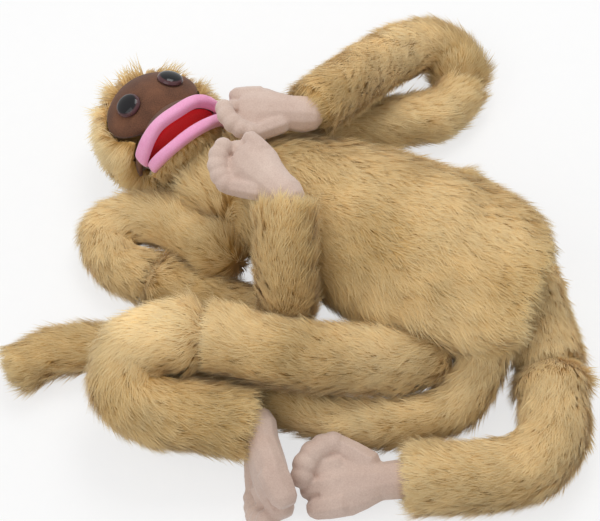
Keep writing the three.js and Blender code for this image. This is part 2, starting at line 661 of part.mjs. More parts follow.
const floorPad = box(vec(-900, -900, -200), vec(900, 900, FUR_CLOTH + GAP));
const torsoFill = minus(torsoLoft(FUR_CLOTH + GAP, 8), sleeveLoft(-GAP, 30), floorPad, ...room);
const torsoNodes = {
  torso_cover: minus(torsoLoft(0, 0), torsoLoft(FUR_CLOTH, 8), underFloor, pastNeck, ...room),
  torso_stuffing: torsoFill.intersect(between(torsoEnds[0] + 2, torsoEnds[1] - 2)),
  sleeve_lining: minus(sleeveLoft(0, 0), sleeveLoft(LINING_CLOTH, 20), ...room),
};
const hemRing = (shrink, from, to) => {
  const [, y, z, wide, deep] = TORSO_STATIONS[TORSO_STATIONS.length - 1];
  const rings = [from, to].map((x) => {
    const half = [(wide * TORSO_WIDTH) / 2 - shrink, (deep * TORSO_DEPTH) / 2 - shrink];
    return ring(vec(torsoEnds[1] + x, y, z), vec(0, 1, 0), vec(0, 0, 1), half[0], half[1], 16);
  });
  return loft(rings);
};
torsoNodes.hem_binding = minus(hemRing(1, GAP, HEM_TAPE), hemRing(7, -5, HEM_TAPE + 5));

// Cloth and colours
const FUR = ['#c9a56a', 0.95];
const FILL = ['#f2efe6', 1.0];
const MATERIALS = {
  torso_cover: FUR, torso_stuffing: FILL, sleeve_lining: ['#b58d5a', 0.9], hem_binding: ['#a97f4c', 0.9],
  head_hood: FUR, head_foam: ['#e9d9a8', 1.0], face_panel: ['#5a3524', 0.85], muzzle_panel: ['#6a3f2a', 0.85],
  upper_lip: ['#f2a0b4', 0.8], lower_lip: ['#f2a0b4', 0.8], upper_mouth_board: ['#8d8478', 0.9],
  lower_mouth_board: ['#8d8478', 0.9], palate_felt: ['#d8242c', 0.95], tongue_felt: ['#d8242c', 0.95],
  left_eye: ['#140f12', 0.12], right_eye: ['#140f12', 0.12], left_eye_washer: ['#d9d9d4', 0.5],
  right_eye_washer: ['#d9d9d4', 0.5], finger_pocket: ['#4a3a30', 0.9], thumb_pocket: ['#4a3a30', 0.9],
  mouth_hinge_tape: ['#b8281f', 0.9], chin_cover: FUR,
};
const PINK = ['#efc3a8', 0.9];

const group = new THREE.Group();
group.name = 'monkey_hand_puppet';

function addNode(name, body, look, matrix) {
  const geometry = geometryOf(body);
  if (matrix) geometry.applyMatrix4(matrix);
  geometry.computeVertexNormals();
  const material = new THREE.MeshStandardMaterial({ color: look[0], roughness: look[1], metalness: 0 });
  const mesh = new THREE.Mesh(geometry, material);
  mesh.name = name;
  group.add(mesh);
}

Object.entries(torsoNodes).forEach(([name, body]) => addNode(name, body, MATERIALS[name]));
Object.entries(headNodes).forEach(([name, body]) => addNode(name, body, MATERIALS[name], headFrame));
Object.entries(jawNodes).forEach(([name, body]) => addNode(name, body, MATERIALS[name], jawFrame));
Object.entries(limbs).forEach(([name, piece]) => {
  addNode(`${name}_cover`, piece.shell, FUR);
  addNode(`${name}_stuffing`, piece.core, FILL);
});
Object.entries(mitts).forEach(([name, body]) => addNode(name, body, PINK));
group.userData.joints = joints;
group.userData.hinge = HINGE.clone().applyMatrix4(headFrame);

export default group;
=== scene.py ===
# %% [markdown]
# # A long-limbed plush monkey puppet on its back
#
# The puppet is a sewn toy: fur cloth over loose stuffing, with a mouth that a hand inside can work.
# The CAD frame holds every piece in its true place. This lesson dresses it: shaggy fur on the
# body and limbs, a velour face, a stuffed moving mouth, button eyes and soft mitts. Each cell
# makes one thing and prints what it made.

import json
import math

import bmesh
import bpy
import numpy as np
from mathutils import Matrix, Vector
from mathutils.bvhtree import BVHTree

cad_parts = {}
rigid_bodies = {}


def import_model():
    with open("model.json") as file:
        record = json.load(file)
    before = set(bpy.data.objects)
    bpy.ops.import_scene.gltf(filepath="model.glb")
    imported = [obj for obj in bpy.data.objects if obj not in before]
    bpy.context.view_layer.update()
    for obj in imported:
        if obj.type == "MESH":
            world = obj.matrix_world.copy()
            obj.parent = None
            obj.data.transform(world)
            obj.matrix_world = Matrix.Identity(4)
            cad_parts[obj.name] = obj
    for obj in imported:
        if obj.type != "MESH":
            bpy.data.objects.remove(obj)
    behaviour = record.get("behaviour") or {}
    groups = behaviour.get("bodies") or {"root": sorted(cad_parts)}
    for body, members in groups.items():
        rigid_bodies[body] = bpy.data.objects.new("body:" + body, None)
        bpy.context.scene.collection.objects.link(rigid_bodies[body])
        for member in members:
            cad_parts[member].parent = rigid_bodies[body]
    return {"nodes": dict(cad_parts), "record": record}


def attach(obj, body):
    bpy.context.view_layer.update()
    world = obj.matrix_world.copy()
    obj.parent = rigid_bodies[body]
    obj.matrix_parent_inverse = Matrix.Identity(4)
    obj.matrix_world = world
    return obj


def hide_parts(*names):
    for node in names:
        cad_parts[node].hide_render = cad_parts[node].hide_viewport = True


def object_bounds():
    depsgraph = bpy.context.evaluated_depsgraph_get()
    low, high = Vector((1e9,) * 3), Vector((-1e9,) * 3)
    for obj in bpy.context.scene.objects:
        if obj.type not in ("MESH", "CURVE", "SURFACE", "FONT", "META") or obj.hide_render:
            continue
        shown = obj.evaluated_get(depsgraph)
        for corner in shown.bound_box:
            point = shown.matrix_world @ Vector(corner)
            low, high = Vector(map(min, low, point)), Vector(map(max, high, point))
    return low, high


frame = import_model()
cad_low, cad_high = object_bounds()
MM = 0.001
NODES = frame["nodes"]
JOINTS = {joint["name"]: joint for joint in frame["record"]["behaviour"]["joints"]}
rng = np.random.default_rng(11)
print("frame opened with", len(NODES), "nodes")

# %% [markdown]
# ## Node trees in a few words
#
# Node trees can be built by hand in the editor, but a script can be read and run again. Joining
# every Math node by name is long, so a socket wrapper lets plain arithmetic make the maths nodes
# of a shader or of a geometry tree.


# %% A wrapper for sockets
class Sock:
    def __init__(self, graph, socket):
        self.graph = graph
        self.socket = socket

    def math(self, operation, other, swap=False):
        pair = (other, self) if swap else (self, other)
        node = self.graph.make("ShaderNodeMath", {"operation": operation}, i0=pair[0], i1=pair[1])
        return Sock(self.graph, node.outputs[0])

    def __add__(self, other):
        return self.math("ADD", other)

    def __sub__(self, other):
        return self.math("SUBTRACT", other)

    def __mul__(self, other):
        return self.math("MULTIPLY", other)

    def __rsub__(self, other):
        return self.math("SUBTRACT", other, True)

    __radd__ = __add__
    __rmul__ = __mul__


class Graph:
    def __init__(self, tree):
        self.tree = tree

    def make(self, kind, settings=None, **inputs):
        """Adds a node. Its inputs are given by name, or by place as i0, i1 and so on."""
        node = self.tree.nodes.new(kind)
        for key, value in (settings or {}).items():
            setattr(node, key, value)
        for key, value in inputs.items():
            index = int(key[1:]) if key[0] == "i" and key[1:].isdigit() else key.replace("_", " ")
            self.feed(node.inputs[index], value)
        return node

    def feed(self, socket, value):
        if isinstance(value, Sock):
            self.tree.links.new(value.socket, socket)
        elif isinstance(value, bpy.types.NodeSocket):
            self.tree.links.new(value, socket)
        else:
            socket.default_value = value

    def out(self, node, name=0):
        return Sock(self, node.outputs[name])


print("socket wrapper ready")

# %% [markdown]
# ## Materials
#
# The puppet is made of a few cloths: long golden pile, brown velour, pink fleece and red felt. Painted
# pictures could give their colours, but noise needs no file and has no edges. Colours are given
# as they look on a screen. Every cloth varies over its surface: short pile by noise on object
# coordinates, and fur by noise and by two numbers that each strand carries, its place from root to
# tip and its own tint.


# %% Colour and noise helpers
def screen(red, green, blue):
    def linear(value):
        part = value / 255
        return part / 12.92 if part <= 0.04045 else ((part + 0.055) / 1.055) ** 2.4

    return (linear(red), linear(green), linear(blue), 1.0)


def new_material(name):
    material = bpy.data.materials.new(name)
    material.use_nodes = True
    graph = Graph(material.node_tree)
    shader = material.node_tree.nodes["Principled BSDF"]
    return material, graph, shader


def mix(graph, amount, low, high, blend="MIX"):
    node = graph.make("ShaderNodeMix", {"data_type": "RGBA", "blend_type": blend})
    graph.feed(node.inputs[0], amount)
    graph.feed(node.inputs[6], low)
    graph.feed(node.inputs[7], high)
    return Sock(graph, node.outputs[2])


def grain(graph, scale, detail=3.0):
    place = graph.make("ShaderNodeTexCoord")
    node = graph.make("ShaderNodeTexNoise", Vector=place.outputs["Object"], Scale=scale, Detail=detail)
    return Sock(graph, node.outputs[0])


def attribute(graph, name):
    node = graph.make("ShaderNodeAttribute", {"attribute_name": name})
    return Sock(graph, node.outputs["Fac"])


print("mid grey is", round(screen(128, 128, 128)[0], 3), "as light")

# %% [markdown]
# ### Short cloth
#
# Velour, fleece and felt have a dull pile of a millimetre or less. Strands that short could be grown too,
# but only their mottled colour and soft edge can be seen. So one noise mixes two colours in
# blotches, a finer one adds the nap and a small bump, and sheen makes the edge pale. On the face velour
# the blotches are also painted sheen of the crushed nap and painted shade of its creases.

# %% Short cloth
BLOTCH_SHARE, NAP_SHARE = 0.6, 0.4
DARK_END, CONTRAST = 0.3, 2.5


def cloth(name, dark, light, patch, pile, depth, rough=0.9, sheen=0.3):
    material, graph, shader = new_material(name)
    blotch = grain(graph, patch)
    nap = grain(graph, pile, 2.0)
    amount = (blotch * BLOTCH_SHARE + nap * NAP_SHARE - DARK_END) * CONTRAST
    graph.feed(shader.inputs["Base Color"], mix(graph, amount, screen(*dark), screen(*light)))
    shader.inputs["Roughness"].default_value = rough
    shader.inputs["Sheen Weight"].default_value = sheen
    shader.inputs["Sheen Roughness"].default_value = 0.5
    bump = graph.make("ShaderNodeBump", Strength=0.5, Distance=depth, Height=nap)
    graph.feed(shader.inputs["Normal"], bump.outputs[0])
    return material


print("short cloth ready")

# %% [markdown]
# ### Long pile
#
# A strand of the coat is deep gold at its root and bleached at its tip, and whole places are paler, where
# the pile lies another way. The hair shader is made for curves, and these strands are a mesh. So
# a plain shader takes its colour from the place along the strand and from two noises, which also
# paint shade for the folds of the coat.

# %% Colour of the strands
PALE = (228, 213, 174)
PATCH_SCALE, BROAD_SCALE = 22.0, 8.0


def strand_colour(graph, root, middle, tip):
    along = attribute(graph, "along")
    tint = attribute(graph, "tint")
    patch = grain(graph, PATCH_SCALE, 2.0)
    broad = grain(graph, BROAD_SCALE, 1.0)
    lower = mix(graph, along * 2.2, screen(*root), screen(*middle))
    upper = mix(graph, along * 1.6 - 0.6, lower, screen(*tip))
    # Broad pale places, where the pile lies one way, and deep gold ones where it lies the other
    faded = mix(graph, (broad - 0.37) * 3.4 * along, upper, screen(*PALE))
    # The grey factor is random tone, by strand and in patches, and its two noises also paint shade for the folds
    # of the coat
    shade = tint * 0.16 + patch * 0.55 + broad * 0.8 + 0.26
    grey = graph.make("ShaderNodeCombineColor", Red=shade, Green=shade, Blue=shade)
    return mix(graph, 1.0, faded, grey.outputs[0], "MULTIPLY")


print("strand colours ready, palest", PALE)

# %% [markdown]
# ### Light on the strands
#
# A real coat is lit as one soft surface, because each hair is round and very thin. A flat blade has one
# normal, so blades side by side would flicker from light to dark. So a strand is lit mostly as
# the skin under it, some light goes through it, and it casts only part of a shadow.

# %% Light on the strands
SKIN_LIGHT = 0.72
LET_THROUGH = 0.25
SHADOW_GAP = 0.66


def strand_normal(graph):
    lie = graph.make("ShaderNodeAttribute", {"attribute_name": "lie"})
    world = graph.make(
        "ShaderNodeVectorTransform",
        {"vector_type": "NORMAL", "convert_from": "OBJECT", "convert_to": "WORLD"},
        Vector=lie.outputs["Vector"],
    )
    own = graph.make("ShaderNodeNewGeometry")
    # A strand seen from its underside keeps its own normal, since the skin's would leave it black
    match = graph.make(
        "ShaderNodeVectorMath", {"operation": "DOT_PRODUCT"}, i0=own.outputs["Normal"], i1=world.outputs[0]
    )
    upper_side = (graph.out(match, "Value") * 4.0 + 0.4).math("MAXIMUM", 0.0).math("MINIMUM", 1.0)
    blend = graph.make("ShaderNodeMix", {"data_type": "VECTOR"})
    graph.feed(blend.inputs[0], upper_side * SKIN_LIGHT)
    graph.feed(blend.inputs[4], own.outputs["Normal"])
    graph.feed(blend.inputs[5], world.outputs[0])
    facing = graph.make("ShaderNodeVectorMath", {"operation": "NORMALIZE"}, i0=blend.outputs[1])
    return graph.out(facing)


def fur(name, root, middle, tip):
    material, graph, shader = new_material(name)
    graph.feed(shader.inputs["Base Color"], strand_colour(graph, root, middle, tip))
    shader.inputs["Roughness"].default_value = 0.7
    shader.inputs["Specular IOR Level"].default_value = 0.2
    shader.inputs["Sheen Weight"].default_value = 0.3
    graph.feed(shader.inputs["Normal"], strand_normal(graph))
    through = graph.make("ShaderNodeBsdfTranslucent", Color=screen(*tip))
    lit = graph.make("ShaderNodeMixShader", i0=LET_THROUGH, i1=shader.outputs[0], i2=through.outputs[0])
    path = graph.make("ShaderNodeLightPath")
    part = graph.out(path, "Is Shadow Ray") * SHADOW_GAP
    clear = graph.make("ShaderNodeBsdfTransparent")
    both = graph.make("ShaderNodeMixShader", i0=part, i1=lit.outputs[0], i2=clear.outputs[0])
    leave = material.node_tree.nodes["Material Output"]
    material.node_tree.links.new(both.outputs[0], leave.inputs["Surface"])
    return material


FUR = fur("golden_fur", root=(166, 124, 58), middle=(205, 164, 93), tip=(240, 221, 173))
print("long pile made:", FUR.name)

# %% The short cloths, each from a dark and a light colour
UNDERFUR = cloth("under_fur", (184, 142, 76), (210, 170, 100), patch=40.0, pile=600.0, depth=0.001)
# The velour's dark and light blotches are partly its own tone and partly painted sheen of the nap and painted
# shade of its creases
VELOUR = cloth(
    "face_velour", (60, 34, 20), (124, 80, 54), patch=34.0, pile=900.0, depth=0.0006, rough=0.88, sheen=0.08
)
FELT = cloth(
    "mouth_felt", (222, 12, 26), (248, 40, 46), patch=30.0, pile=900.0, depth=0.0006, rough=0.92, sheen=0.2
)
MITT = cloth(
    "mitt_fleece", (192, 164, 150), (220, 198, 184), patch=18.0, pile=700.0, depth=0.0005, rough=0.85, sheen=0.35
)
LINING = cloth("lining_cloth", (138, 104, 62), (172, 136, 88), patch=30.0, pile=500.0, depth=0.0005)
TAPE = cloth("hem_tape", (132, 96, 52), (164, 126, 76), patch=30.0, pile=420.0, depth=0.0006)
POCKET = cloth("pocket_cloth", (58, 44, 36), (84, 66, 54), patch=30.0, pile=500.0, depth=0.0005)
BOARD = cloth(
    "mouth_board", (120, 112, 102), (150, 141, 130), patch=20.0, pile=300.0, depth=0.0002, rough=0.85, sheen=0.0
)
WASHER = cloth(
    "washer_plastic", (206, 206, 200), (224, 224, 218), patch=20.0, pile=200.0, depth=0.0001, rough=0.45, sheen=0.0
)
print("short cloths made:", len(bpy.data.materials) - 1)

# %% [markdown]
# ### Lips and eyes
#
# The lips are pink fleece that turns to the brown of the cheek at the corners, and the eyes are glossy black
# buttons with a brown rim. Two materials could meet at an edge in the mesh, but the edge would
# be as coarse as the faces. So each mesh carries a number, and the shader mixes two colours by it.


# %% Lips and eyes
def lip_fleece():
    dark, light = (232, 140, 186), (248, 182, 218)
    material = cloth("lip_fleece", dark, light, patch=22.0, pile=800.0, depth=0.0005, rough=0.85, sheen=0.35)
    graph = Graph(material.node_tree)
    shader = material.node_tree.nodes["Principled BSDF"]
    socket = shader.inputs["Base Color"]
    fleece = socket.links[0].from_socket
    cheek = mix(graph, grain(graph, 34.0), screen(74, 46, 30), screen(112, 76, 54))
    graph.feed(socket, mix(graph, attribute(graph, "pink"), cheek, fleece))
    return material


def eye_gloss():
    material, graph, shader = new_material("eye_gloss")
    rim = attribute(graph, "rim")
    speck = grain(graph, 90.0)
    edge = graph.make("ShaderNodeMapRange", Value=rim, From_Min=0.78, From_Max=0.88)
    black = mix(graph, speck, screen(10, 9, 12), screen(22, 20, 24))
    brown = mix(graph, speck, screen(66, 38, 44), screen(96, 62, 64))
    graph.feed(shader.inputs["Base Color"], mix(graph, Sock(graph, edge.outputs[0]), black, brown))
    shader.inputs["Roughness"].default_value = 0.1
    shader.inputs["Specular IOR Level"].default_value = 0.28
    return material


LIPS = lip_fleece()
EYE = eye_gloss()
print("materials made:", len(bpy.data.materials))

# %% [markdown]
# ## Skins
#
# Under the pile, each piece is a sewn bag pulled round by its stuffing. It could be blown up by a cloth
# simulation, but the solids already have the stuffed form. So a skin starts from the CAD cover and
# its filling: both are copied, merged, remeshed so that they become one closed surface, and
# smoothed until the facets are gone.


# %% New meshes
def new_object(name, mesh):
    piece = bpy.data.objects.new(name, mesh)
    bpy.context.scene.collection.objects.link(piece)
    return piece


def from_points(name, points, faces, smooth=True):
    mesh = bpy.data.meshes.new(name)
    mesh.from_pydata([tuple(p) for p in points], [], faces)
    mesh.validate()
    mesh.shade_smooth() if smooth else mesh.shade_flat()
    return new_object(name, mesh)


def baked(piece):
    """The piece with its modifiers made real."""
    graph = bpy.context.evaluated_depsgraph_get()
    mesh = bpy.data.meshes.new_from_object(piece.evaluated_get(graph))
    old = piece.data
    piece.modifiers.clear()
    piece.data = mesh
    if old.users == 0:
        bpy.data.meshes.remove(old)
    mesh.name = piece.name
    return piece


# %% Skins from the solids
def cad_copy(name, nodes):
    work = bmesh.new()
    for node in nodes:
        work.from_mesh(NODES[node].data)
    bmesh.ops.remove_doubles(work, verts=work.verts, dist=1e-5)
    mesh = bpy.data.meshes.new(name)
    work.to_mesh(mesh)
    work.free()
    return new_object(name, mesh)


def rounded(piece, voxel, rounds):
    """The piece remeshed to one closed surface and smoothed."""
    remesh = piece.modifiers.new("remesh", "REMESH")
    remesh.mode = "VOXEL"
    remesh.voxel_size = voxel
    smooth = piece.modifiers.new("smooth", "SMOOTH")
    smooth.factor = 0.5
    smooth.iterations = rounds
    baked(piece)
    piece.data.shade_smooth()
    return piece


def skin(name, nodes, voxel, rounds):
    return rounded(cad_copy(name, nodes), voxel, rounds)


print("solids to make skins from:", len(NODES))


# %% Points and numbers of a mesh
def arrays(piece):
    count = len(piece.data.vertices)
    points = np.empty(count * 3)
    normals = np.empty(count * 3)
    piece.data.vertices.foreach_get("co", points)
    piece.data.vertex_normals.foreach_get("vector", normals)
    return points.reshape(-1, 3), normals.reshape(-1, 3)


def store(piece, name, values):
    kind = "FLOAT_VECTOR" if values.ndim == 2 else "FLOAT"
    field = piece.data.attributes.new(name, kind, "POINT")
    field.data.foreach_set("vector" if values.ndim == 2 else "value", values.astype(np.float32).ravel())


TABLE = 0.2 * MM


def settle(piece, points):
    """Moves the vertices to the points, none of them below the table."""
    points[:, 2] = np.maximum(points[:, 2], TABLE)
    piece.data.vertices.foreach_set("co", points.ravel())
    piece.data.update()


print("no skin lies under", TABLE, "metres")


# %% Dressing a piece
def finish_in(piece, material):
    piece.data.materials.clear()
    piece.data.materials.append(material)


def dress(piece, body, slot, *replaced):
    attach(piece, body)
    if replaced:
        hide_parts(*replaced)
    return piece


print("bodies to ride on:", len(JOINTS) + 1)

# %% [markdown]
# ## Fur
#
# The real pile looks about 20 mm long, is soft, and lies mostly one way. Hair curves would show it, but they
# are lost in an exported mesh. So one small tuft of curved blades is set on points all over a skin
# by Geometry Nodes, and made a plain mesh. Each tuft stands on the surface normal and leans along
# the comb direction that the skin carries.

# %% The tuft
TUFT_BLADES = 9
BLADE_STEPS = (0.0, 0.52, 1.0)
BLADE_WIDTHS = (0.44, 0.36, 0.0)
BLADE_LENGTHS = (0.72, 1.1)
BLADE_LIFT = (0.22, 0.42)
BLADE_YAW = 0.32
TUFT_HALF = 3.0
FUR_LENGTH = 23.0


def tuft():
    points, faces, along = [], [], []
    for blade in range(TUFT_BLADES):
        root = rng.uniform(-TUFT_HALF, TUFT_HALF, 2)
        yaw = rng.uniform(-BLADE_YAW, BLADE_YAW)
        length = FUR_LENGTH * rng.uniform(*BLADE_LENGTHS)
        lift = rng.uniform(*BLADE_LIFT)
        ahead = np.array([math.cos(yaw), math.sin(yaw)])
        side = np.array([-ahead[1], ahead[0]])
        first = len(points)
        for step, half in zip(BLADE_STEPS, BLADE_WIDTHS):
            run = length * (0.42 * step + 0.46 * step * step)
            rise = length * lift * (1.5 * step - 0.72 * step * step)
            centre = root * (1 - 0.6 * step) + ahead * run
            for way in (-1, 1) if half else (0,):
                spot = centre + side * way * half
                points.append((spot[0] * MM, spot[1] * MM, rise * MM))
                along.append(step)
        faces.append((first, first + 1, first + 3, first + 2))
        faces.append((first + 2, first + 3, first + 4))
    piece = from_points("tuft", points, faces)
    store(piece, "along", np.array(along))
    piece.hide_render = True
    return piece


TUFT = tuft()
print("tuft of", TUFT_BLADES, "blades")

# %% Small parts of the fur tree
FUR_LOW = 0.4 * MM
FUR_TOP = cad_high[2] + 0.012


def named(graph, name, kind):
    node = graph.make("GeometryNodeInputNamedAttribute", {"data_type": kind}, Name=name)
    return graph.out(node, "Attribute")


def chance(graph, low, high, seed):
    node = graph.make("FunctionNodeRandomValue", {"data_type": "FLOAT"}, i2=low, i3=high, Seed=seed)
    return graph.out(node, 1)


def marked(graph, points, name, kind, value):
    """The points, each with a value kept under the name."""
    node = graph.make("GeometryNodeStoreNamedAttribute", {"data_type": kind, "domain": "POINT"})
    for socket, given in (("Geometry", points), ("Name", name), ("Value", value)):
        graph.feed(node.inputs[socket], given)
    return graph.out(node, "Geometry")


def kept_in_box(graph, strands):
    """The strands with no point under the table or over the allowed height."""
    place = graph.make("GeometryNodeInputPosition")
    parts = graph.make("ShaderNodeSeparateXYZ", Vector=place.outputs[0])
    height = graph.out(parts, "Z").math("MAXIMUM", FUR_LOW).math("MINIMUM", FUR_TOP)
    laid = graph.make("ShaderNodeCombineXYZ", X=parts.outputs[0], Y=parts.outputs[1], Z=height)
    return graph.out(graph.make("GeometryNodeSetPosition", Geometry=strands, Position=laid.outputs[0]))


print("fur lies from", FUR_LOW, "to", round(FUR_TOP, 4), "metres")


# %% Which way a tuft turns
def tuft_turn(graph, normal, swirl):
    """Upright on the skin, leaning along the comb, with a wander from place to place."""
    upright = graph.make("FunctionNodeAlignRotationToVector", {"axis": "Z"}, Vector=normal)
    combed = graph.make(
        "FunctionNodeAlignRotationToVector",
        {"axis": "X", "pivot_axis": "Z"},
        Rotation=upright.outputs[0],
        Vector=named(graph, "comb", "FLOAT_VECTOR"),
    )
    where = graph.make("GeometryNodeInputPosition")
    wander = graph.make("ShaderNodeTexNoise", Vector=where.outputs[0], Scale=26.0, Detail=1.0)
    yaw = (graph.out(wander) - 0.5) * swirl + chance(graph, -0.35, 0.35, 3)
    turn = graph.make("ShaderNodeCombineXYZ", Y=chance(graph, -0.22, 0.12, 4), Z=yaw)
    twist = graph.make("FunctionNodeEulerToRotation", i0=turn.outputs[0])
    final = graph.make(
        "FunctionNodeRotateRotation",
        {"rotation_space": "LOCAL"},
        Rotation=combed.outputs[0],
        Rotate_By=twist.outputs[0],
    )
    return graph.out(final)


print("tufts wander by a noise")

# %% The fur tree
FUR_INPUTS = (
    ("Skin", "NodeSocketGeometry", None),
    ("Tufts per square metre", "NodeSocketFloat", 60000.0),
    ("Swirl", "NodeSocketFloat", 1.4),
    ("Seed", "NodeSocketInt", 1),
)


def fur_tree():
    tree = bpy.data.node_groups.new("fur", "GeometryNodeTree")
    for name, kind, value in FUR_INPUTS:
        socket = tree.interface.new_socket(name, in_out="INPUT", socket_type=kind)
        if value is not None:
            socket.default_value = value
    tree.interface.new_socket("Fur", in_out="OUTPUT", socket_type="NodeSocketGeometry")
    graph = Graph(tree)
    entry = graph.make("NodeGroupInput")
    skin_in, density, swirl, seed = [graph.out(entry, name) for name, _, _ in FUR_INPUTS]
    spread = graph.make("GeometryNodeDistributePointsOnFaces", {"distribute_method": "RANDOM"})
    graph.feed(spread.inputs["Mesh"], skin_in)
    graph.feed(spread.inputs["Density"], density * named(graph, "pile", "FLOAT"))
    graph.feed(spread.inputs["Seed"], seed)
    normal = graph.out(spread, "Normal")
    points = marked(graph, graph.out(spread, "Points"), "tint", "FLOAT", chance(graph, 0.0, 1.0, 5))
    points = marked(graph, points, "lie", "FLOAT_VECTOR", normal)
    shape = graph.make("GeometryNodeObjectInfo", {"transform_space": "ORIGINAL"}, Object=TUFT)
    planted = graph.make("GeometryNodeInstanceOnPoints")
    graph.feed(planted.inputs["Points"], points)
    graph.feed(planted.inputs["Instance"], graph.out(shape, "Geometry"))
    graph.feed(planted.inputs["Rotation"], tuft_turn(graph, normal, swirl))
    graph.feed(planted.inputs["Scale"], chance(graph, 0.8, 1.2, 6) * named(graph, "length", "FLOAT"))
    real = graph.make("GeometryNodeRealizeInstances", Geometry=planted.outputs[0])
    laid = kept_in_box(graph, graph.out(real))
    strands = graph.make("GeometryNodeSetMaterial", Geometry=laid, Material=FUR)
    base = graph.make("GeometryNodeSetMaterial", Geometry=skin_in, Material=UNDERFUR)
    both = graph.make("GeometryNodeJoinGeometry")
    tree.links.new(base.outputs[0], both.inputs[0])
    tree.links.new(strands.outputs[0], both.inputs[0])
    leave = graph.make("NodeGroupOutput")
    tree.links.new(both.outputs[0], leave.inputs[0])
    return tree


FUR_TREE = fur_tree()
print("fur tree of", len(FUR_TREE.nodes), "nodes")

# %% Growing fur on a skin
SOCKETS = {item.name: item.identifier for item in FUR_TREE.interface.items_tree if item.in_out == "INPUT"}
TUFTS = 98000.0


def grow(piece, comb, pile, length, seed, swirl=1.4):
    store(piece, "comb", comb)
    store(piece, "pile", pile)
    store(piece, "length", length)
    coat = piece.modifiers.new("fur", "NODES")
    coat.node_group = FUR_TREE
    coat[SOCKETS["Tufts per square metre"]] = TUFTS
    coat[SOCKETS["Swirl"]] = swirl
    coat[SOCKETS["Seed"]] = seed
    baked(piece)
    return piece


print("tufts per square metre:", TUFTS)

# %% [markdown]
# ## Limbs and tail
#
# Arms, legs and tail are long stuffed tubes of fur, each in two sections that turn at a ball. One long
# tube could be bent over the joint, but each section has to move with its own body. So each
# has its own skin, filled out at the joint so that the tube seems to run on. The middle line of
# each limb, from its root, gives the comb direction. Fur thins under the puppet, where it is
# pressed on the table, and stops inside the joints.

# %% Middle lines, in millimetres
LINES = {
    "right_arm": [
        (-150, -76, 52), (-184, -64, 46), (-218, -52, 39), (-253, -51, 30), (-279, -73, 23),
        (-259, -102, 22), (-223, -110, 22), (-186, -114, 23), (-150, -116, 24), (-113, -118, 25),
        (-80, -117, 40), (-69, -117, 73), (-74, -105, 108), (-82, -82, 135), (-93, -52, 152),
    ],
    "left_arm": [
        (-150, 77, 50), (-127, 104, 40), (-102, 129, 31), (-71, 149, 26), (-39, 166, 24), (-9, 187, 24),
        (3, 221, 26), (-10, 254, 33), (-38, 254, 47), (-60, 228, 62), (-74, 197, 76), (-84, 165, 90),
        (-92, 132, 106), (-102, 99, 118), (-115, 66, 125),
    ],
    "right_leg": [
        (76, -106, 44), (53, -129, 50), (25, -145, 59), (-4, -160, 69), (-32, -174, 78),
        (-64, -183, 84), (-97, -185, 86), (-130, -191, 87), (-160, -205, 87), (-183, -228, 81),
        (-178, -258, 69), (-148, -266, 61), (-116, -258, 56), (-84, -250, 52), (-52, -243, 48),
    ],
    "left_leg": [
        (40, 70, 48), (72, 68, 38), (101, 54, 32), (125, 30, 29), (145, 4, 29), (162, -25, 30),
        (179, -54, 30), (193, -84, 30), (205, -115, 30), (213, -147, 30), (205, -180, 30), (182, -202, 30),
        (152, -218, 30), (121, -230, 30), (90, -242, 30),
    ],
    "tail": [
        (128, -86, 66), (128, -118, 46), (115, -148, 28), (87, -171, 22), (54, -188, 22), (17, -197, 21),
        (-20, -200, 21), (-57, -202, 21), (-95, -203, 21), (-132, -202, 21), (-169, -199, 21), (-207, -196, 21),
        (-243, -205, 21), (-275, -224, 22), (-298, -253, 22),
    ],
}
SECTIONS = {
    "right_upper_arm": ("right_arm", "right_shoulder"),
    "right_forearm": ("right_arm", "right_elbow"),
    "left_upper_arm": ("left_arm", "left_shoulder"),
    "left_forearm": ("left_arm", "left_elbow"),
    "right_thigh": ("right_leg", "right_hip"),
    "right_shin": ("right_leg", "right_knee"),
    "left_thigh": ("left_leg", "left_hip"),
    "left_shin": ("left_leg", "left_knee"),
    "tail_base": ("tail", "tail_root"),
    "tail_tip": ("tail", "tail_middle"),
}
print("middle lines:", len(LINES), "for", len(SECTIONS), "sections")


# %% Along a line
def fine_line(points, steps=8):
    """A smooth line through the points, as steps of straight runs."""
    p = np.array(points, float)
    p = np.vstack([2 * p[0] - p[1], p, 2 * p[-1] - p[-2]])
    line = []
    for k in range(1, len(p) - 2):
        for t in np.arange(steps) / steps:
            a = 2 * p[k]
            b = (p[k + 1] - p[k - 1]) * t
            c = (2 * p[k - 1] - 5 * p[k] + 4 * p[k + 1] - p[k + 2]) * t * t
            d = (3 * p[k] - p[k - 1] - 3 * p[k + 1] + p[k + 2]) * t**3
            line.append((a + b + c + d) / 2)
    return np.array(line + [p[-2]]) * MM


def nearest(line, points):
    """Index of the step of the line next to each point, and the way along the line there."""
    gaps = ((points[:, None, :] - line[None, :, :]) ** 2).sum(2)
    index = gaps.argmin(1)
    ahead = np.gradient(line, axis=0)
    ahead /= np.linalg.norm(ahead, axis=1)[:, None]
    return index, ahead[index]


def ease(value, low, high):
    t = np.clip((value - low) / (high - low), 0, 1)
    return t * t * (3 - 2 * t)


def pressed(points, normals):
    """1 on open surface, little where the piece lies on the table."""
    downward = np.clip((-normals[:, 2] - 0.35) / 0.4, 0, 1)
    close = np.clip((0.03 - points[:, 2]) / 0.02, 0, 1)
    return 1 - 0.85 * downward * close


print("right arm drawn in", len(fine_line(LINES["right_arm"])), "steps")

# %% One section of a limb
HALF_WIDTHS = {
    "upper_arm": 25.0, "forearm": 27.0, "thigh": 31.0, "shin": 32.0, "tail_base": 22.0, "tail_tip": 22.0,
}
LIMB_VOXEL = 4.5 * MM
SUNK = 3.0 * MM
ROOT_STEPS = 12
FILL_FROM, FILL_TO = -0.012, 0.006
SINK_FROM, SINK_TO = -0.004, 0.02
PILE_IN_TORSO, PILE_IN_LIMB, PILE_FADE = -0.03, -0.014, 0.006


